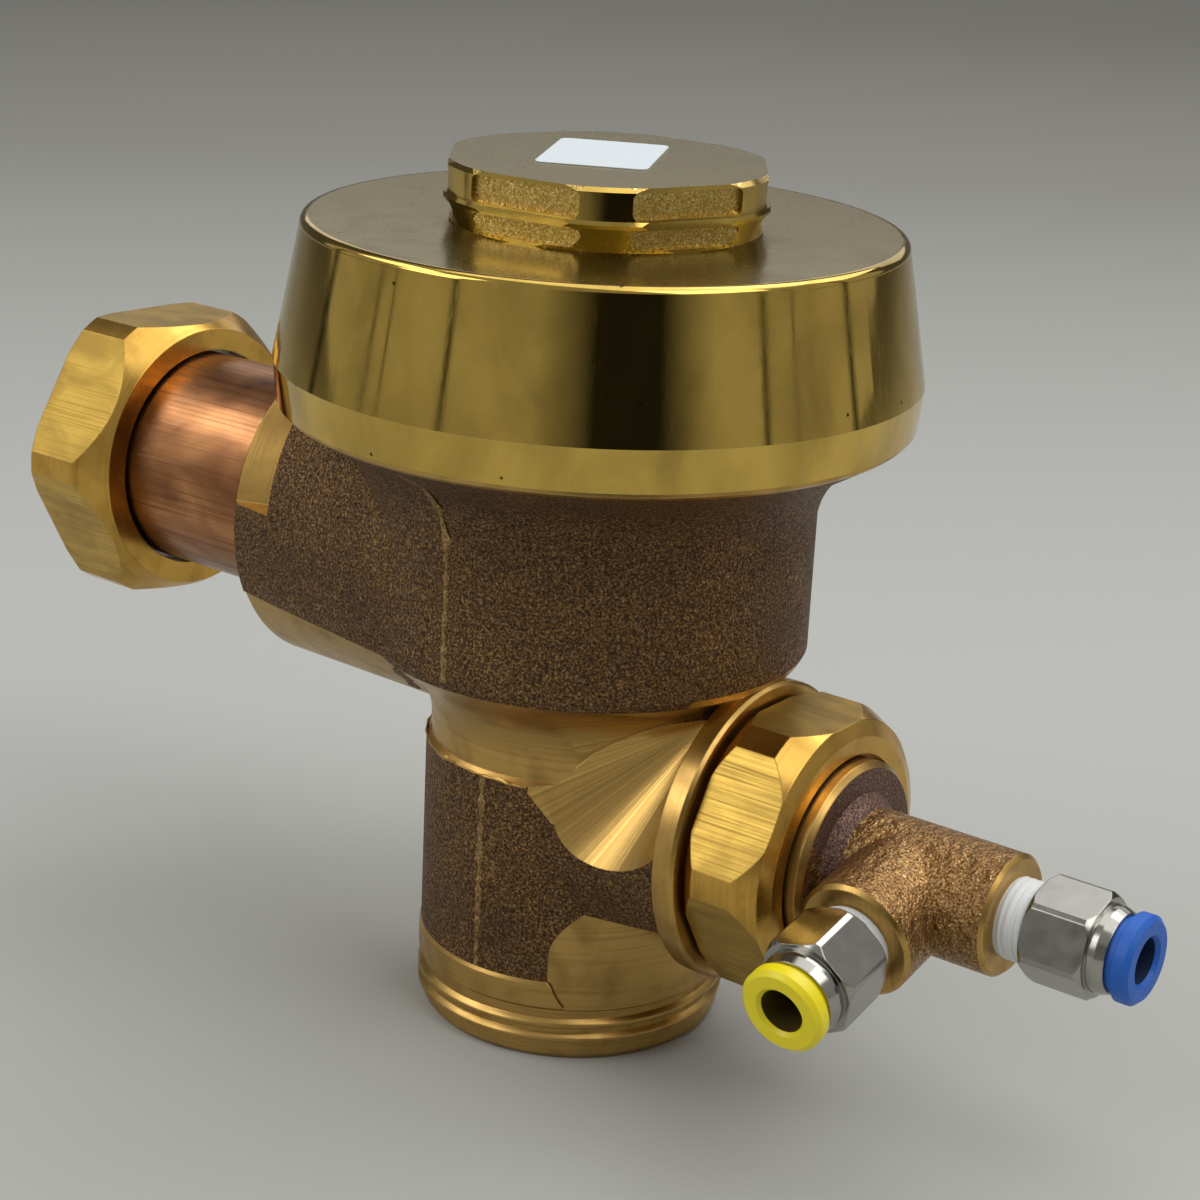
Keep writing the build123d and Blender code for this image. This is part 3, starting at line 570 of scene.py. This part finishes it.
def arc(first, through, last, steps=16, grow=0.0):
    """Points of the circle through three points, from the first to the last, grown outward a little."""
    (ax, ay), (bx, by), (cx, cy) = first, through, last
    rows = np.array([[bx - ax, by - ay], [cx - ax, cy - ay]])
    start_sq = ax * ax + ay * ay
    middle = np.linalg.solve(rows, [(bx * bx + by * by - start_sq) / 2, (cx * cx + cy * cy - start_sq) / 2])
    t0, t1 = (math.atan2(q[1] - middle[1], q[0] - middle[0]) for q in (first, last))
    t = np.linspace(t0, t1, steps)
    radius = math.hypot(ax - middle[0], ay - middle[1]) + grow
    return middle + radius * np.stack([np.cos(t), np.sin(t)], 1)


EDGE = arc((43.9, 122.0), (43.55, 122.85), (42.6, 123.2), grow=0.012)
sheet("cover_edge_polish", turned_skin(EDGE), brass_polished, "valve")

# %% [markdown]
# A blank paper label with rounded corners lies near the middle of the head. A box could stand for it, but
# its corners would be square, so a grid is bent at its four corners into quarter discs and given the
# thickness of paper.

# %% Paper label
LABEL_MIDDLE, LABEL_HALF, LABEL_CORNER, LABEL_TURN = (-2.6, 2.0), (10.9, 8.1), 1.4, math.radians(117.4)
LABEL_TOP, LABEL_T = 132.45, 0.15


def rounded_label(steps=8):
    """Grid over a rectangle; in each corner square u goes to u sqrt(1 - v v / 2), and v likewise."""
    axes = []
    for half in LABEL_HALF:
        bend = half - LABEL_CORNER + LABEL_CORNER * np.linspace(0, 1, steps)
        axes.append(np.concatenate([-bend[::-1], np.linspace(-bend[0], bend[0], 2 * steps)[1:-1], bend]))
    flat = np.stack(np.meshgrid(*axes), -1)
    core = np.array(LABEL_HALF) - LABEL_CORNER
    over = np.maximum(np.abs(flat) - core, 0) / LABEL_CORNER
    pulled = over * np.sqrt(1 - over[..., ::-1] ** 2 / 2)
    flat = np.sign(flat) * (np.minimum(np.abs(flat), core) + LABEL_CORNER * pulled)
    c, s = math.cos(LABEL_TURN), math.sin(LABEL_TURN)
    turned = flat @ np.array([[c, s], [-s, c]]) + LABEL_MIDDLE
    return np.concatenate([turned, np.full((*turned.shape[:2], 1), LABEL_TOP)], -1)


label = sheet("label_paper", rounded_label(), paper, "valve")
thick = label.modifiers.new("paper", "SOLIDIFY")
thick.thickness, thick.offset = LABEL_T * MM, -1.0
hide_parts("cover_label")

# %% [markdown]
# The tool that cut the cove left a thin burr where it ran out on the neck. It is a low uneven ridge laid
# round the edge, except where the side boss stands. Its width and height are smoothed chance numbers with a
# fixed start, so every run gives the same burr.

# %% Cove burr
BURR_Z, BURR_R, BURR_HALF, BURR_HIGH = 43.9, 23.7, 0.35, 0.25
rng = np.random.default_rng(4)
BURR_FROM, BURR_TO = math.radians(72), math.radians(288)


def uneven(n, reach):
    """Smooth chance numbers between about 0.5 and 1.5: white noise averaged over reach steps."""
    noise = np.convolve(rng.normal(size=n + 2 * reach), np.hanning(2 * reach + 1), "same")[reach:n + reach]
    return np.clip(1 + 0.3 * noise / noise.std(), 0.35, 1.7)


def burr(steps=420, across=7):
    """Ridge round Z between two angles: s goes across it, height falls with the cosine of s."""
    a = np.linspace(BURR_FROM, BURR_TO, steps)[:, None]
    s = np.linspace(-1, 1, across)
    half = BURR_HALF * uneven(steps, 7)[:, None]
    high = BURR_HIGH * uneven(steps, 5)[:, None]
    drift = 0.3 * (uneven(steps, 20)[:, None] - 1)
    r = BURR_R - 0.08 + high * np.cos(s * math.pi / 2)
    return np.stack([r * np.cos(a), r * np.sin(a), BURR_Z + drift + half * s + 0 * a], -1)


sheet("cove_burr", burr(), turned_z, "valve")

# %% [markdown]
# The two halves of the mould met in the plane x = 0, between the two bosses, and left a seam that was filed
# by hand. It is the same kind of uneven ridge, along the body's outline in that plane, front and back. A
# bump in the material could hint at it, but only a real ridge shows in the outline.

# %% Mould seam
NECK_LINE = ((13.2, 23.7), (43.8, 23.7))
BOWL_LINE = ((61.4, 33.5), (82.0, 33.5), (87.2, 35.2), (91.2, 39.0), (94.6, 44.9))
SEAM_HALF, SEAM_HIGH = 0.5, 0.32


def seam(line, side, steps=260, across=7):
    """Ridge along a (height, radius) line in the plane x = 0: height falls with the cosine across its width."""
    heights, radii = np.array(line).T
    up = np.linspace(heights[0], heights[-1], steps)
    r = np.interp(up, heights, radii)
    s = np.linspace(-1, 1, across)
    half = SEAM_HALF * uneven(steps, 9)[:, None]
    high = SEAM_HIGH * uneven(steps, 6)[:, None]
    drift = 0.15 * (uneven(steps, 24)[:, None] - 1)
    grown = r[:, None] - 0.08 + high * np.cos(s * math.pi / 2)
    return np.stack([half * s + drift, side * grown, np.repeat(up[:, None], across, 1)], -1)


for side, word in ((-1, "front"), (1, "back")):
    sheet(f"seam_neck_{word}", seam(NECK_LINE, side), seam_cast, "valve")
    sheet(f"seam_bowl_{word}", seam(BOWL_LINE, side), seam_cast, "valve")

# %% [markdown]
# The view is from the front right and a little above, slightly rolled. The camera could be aimed with a
# constraint; it is placed from angles, a distance and a focal length instead, so that it can be read and
# changed.

# %% Camera
AZIMUTH, ELEVATION, ROLL = 36.387, 19.002, 2.908
DISTANCE, AIM_UP, AIM_RIGHT = 402.998, 65.559, 1.874
LENS_PX, IMAGE_PX, SENSOR_MM = 2669.3, 1200, 36.0


def camera_axes(azimuth, elevation, roll):
    """Right, up, back: azimuth turns about Z from -Y, elevation lifts, roll turns about the view line."""
    a, e, r = (math.radians(v) for v in (azimuth, elevation, roll))
    back = np.array([math.sin(a) * math.cos(e), -math.cos(a) * math.cos(e), math.sin(e)])
    right = np.array([math.cos(a), math.sin(a), 0.0])
    up = np.cross(back, right)
    return math.cos(r) * right + math.sin(r) * up, -math.sin(r) * right + math.cos(r) * up, back, right


cam_right, cam_up, cam_back, level_right = camera_axes(AZIMUTH, ELEVATION, ROLL)
cam_data = bpy.data.cameras.new("photo_camera")
cam_data.lens = LENS_PX / IMAGE_PX * SENSOR_MM
cam_data.sensor_width = SENSOR_MM
camera = bpy.data.objects.new("photo_camera", cam_data)
place = np.array([0, 0, AIM_UP]) + level_right * AIM_RIGHT + cam_back * DISTANCE
turn = np.eye(4)
turn[:3, 0], turn[:3, 1], turn[:3, 2], turn[:3, 3] = cam_right, cam_up, cam_back, place * MM
camera.matrix_world = Matrix(turn.tolist())
bpy.context.scene.collection.objects.link(camera)
bpy.context.scene.camera = camera
print("camera at", place.round(1), "lens", round(cam_data.lens, 1))

# %% [markdown]
# Pale floor and backdrop in one sweep of paper that is darker far away, where less light reached it. The
# colour follows the distance along the line of sight, measured from the valve's axis.

# %% Floor and backdrop
AWAY = -np.array([cam_back[0], cam_back[1], 0.0]) / np.hypot(cam_back[0], cam_back[1])


def sweep(name, half_width, front, back, radius, height, segments=24):
    """Floor that bends up into a wall: a straight run, a quarter circle and a straight rise, carried sideways."""
    t = np.linspace(0, math.pi / 2, segments)
    run = np.concatenate([[-front], back + radius * np.sin(t), [back + radius]])
    rise = np.concatenate([[0.0], radius - radius * np.cos(t), [height]])
    side = np.cross([0, 0, 1], AWAY)
    edge = run[:, None] * AWAY + rise[:, None] * np.array([0, 0, 1])
    verts = np.concatenate([edge - half_width * side, edge + half_width * side])
    n = len(run)
    k = np.arange(n - 1)
    faces = np.column_stack([k, k + 1, k + 1 + n, k + n])
    mesh = bpy.data.meshes.new(name)
    mesh.from_pydata(verts.tolist(), [], faces.tolist())
    mesh.polygons.foreach_set("use_smooth", np.ones(len(faces), bool))
    made = bpy.data.objects.new(name, mesh)
    bpy.context.scene.collection.objects.link(made)
    return made


backdrop = sweep("backdrop", 3.0, 0.3, 1.3, 0.8, 3.0)
paper_mat, tree, shader = start("backdrop_paper_matte", Roughness=0.9)
where = add(tree, "ShaderNodeTexCoord").outputs["Object"]
far = add(tree, "ShaderNodeVectorMath", {"operation": "DOT_PRODUCT"}, i0=where, i1=AWAY.tolist())
shade = ramp(tree, spread(tree, far.outputs["Value"], -0.2, 1.4, 0.0, 1.0),
             ((0.0, "#a9aaa5"), (0.2, "#aaaba8"), (0.45, "#949590"), (0.6, "#85847f"), (1.0, "#7d7c77")))
wire(tree, shader, Base_Color=shade)
backdrop.data.materials.append(paper_mat)
print("backdrop set")

# %% [markdown]
# A tall soft lamp on each side and a broad one above and behind. On a polished cone the lamps and the lit
# floor show as upright streaks, and the unlit room in front leaves its middle dark.

# %% Lamps


def soft_lamp(name, bearing, lift, distance, width, height, power, target=(0, 0, 0.07)):
    """Rectangular lamp at a bearing (degrees left of the camera is negative) and height angle, facing the object."""
    a = math.radians(AZIMUTH - 90 + bearing)
    e = math.radians(lift)
    toward = np.array([math.cos(a) * math.cos(e), math.sin(a) * math.cos(e), math.sin(e)])
    data = bpy.data.lights.new(name, "AREA")
    data.shape = "RECTANGLE"
    data.size, data.size_y, data.energy = width, height, power
    lamp = bpy.data.objects.new(name, data)
    level = np.cross([0, 0, 1], toward) / math.cos(e)
    m = np.eye(4)
    m[:3, 0], m[:3, 1], m[:3, 2] = level, np.cross(toward, level), toward
    m[:3, 3] = np.array(target) + distance * toward
    lamp.matrix_world = Matrix(m.tolist())
    bpy.context.scene.collection.objects.link(lamp)


soft_lamp("lamp_left", -66, 30, 1.1, 0.5, 0.6, 2.6)
soft_lamp("lamp_far_left", -98, 42, 1.1, 0.45, 0.4, 1.8)
soft_lamp("lamp_front_right", 48, 48, 1.2, 0.7, 0.7, 4.0)
soft_lamp("lamp_right", 128, 50, 1.2, 0.8, 0.8, 4.0)
soft_lamp("lamp_top", 130, 78, 1.3, 1.6, 1.4, 9.5)
soft_lamp("lamp_back", 172, 22, 1.7, 1.8, 0.5, 2.2)


print("lamps set")

# %% [markdown]
# Polished metal shows whatever stands round it. Photographers hang black nets beside such a part to draw
# dark streaks in it. Here each is an upright card that fades out sideways and is seen only in reflections,
# so that the views from other sides stay clear.

# %% Nets and world


def soft_card(name, bearing, core, edge):
    """Black net that thins out sideways: opaque within core metres of its middle, clear beyond edge."""
    a = math.radians(AZIMUTH - 90 + bearing)
    mat, tree, shader = start(name, Base_Color=linear("#0c0b0a"), Roughness=0.95)
    where = add(tree, "ShaderNodeTexCoord").outputs["Object"]
    level = (-math.sin(a), math.cos(a), 0.0)
    off = add(tree, "ShaderNodeVectorMath", {"operation": "DOT_PRODUCT"}, i0=where, i1=level).outputs["Value"]
    size = add(tree, "ShaderNodeMath", {"operation": "ABSOLUTE"}, i0=off).outputs["Value"]
    wire(tree, shader, Alpha=spread(tree, size, core, edge, 1.0, 0.0))
    return mat


def flag(name, bearing, distance, width, low, high, card):
    """Upright matt black card at a bearing from the camera's side: cards like this keep light off a polished part."""
    a = math.radians(AZIMUTH - 90 + bearing)
    toward = np.array([math.cos(a), math.sin(a), 0.0])
    level = np.array([-toward[1], toward[0], 0.0]) * width / 2
    up = np.array([0, 0, 1.0])
    middle = distance * toward
    signs = ((-1, low), (1, low), (1, high), (-1, high))
    mesh = bpy.data.meshes.new(name)
    points = [(middle + side * level + up * z_at).tolist() for side, z_at in signs]
    mesh.from_pydata(points, [], [[0, 1, 2, 3]])
    mesh.materials.append(card)
    made = bpy.data.objects.new(name, mesh)
    made.visible_camera = False
    made.visible_diffuse = False
    made.visible_shadow = False
    bpy.context.scene.collection.objects.link(made)


flag("flag_front", 10, 0.62, 0.9, -0.3, 0.4, soft_card("net_black_front", 10, 0.12, 0.36))
STRIPS = ((-111, 0.07), (-84, 0.03), (-77, 0.02), (-52, 0.05), (58, 0.05), (70, 0.02), (96, 0.06))
for number, (bearing, width) in enumerate(STRIPS):
    strip = soft_card(f"net_black_{number}", bearing, 0.0, width / 2)
    flag(f"flag_{number}", bearing, 0.7, width, 0.0, 0.5, strip)
world = bpy.data.worlds.new("studio")
world.use_nodes = True
world.node_tree.nodes["Background"].inputs["Color"].default_value = linear("#8c8b88")
world.node_tree.nodes["Background"].inputs["Strength"].default_value = 1.5
bpy.context.scene.world = world
bpy.context.scene.view_settings.view_transform = "Standard"
print("light set")
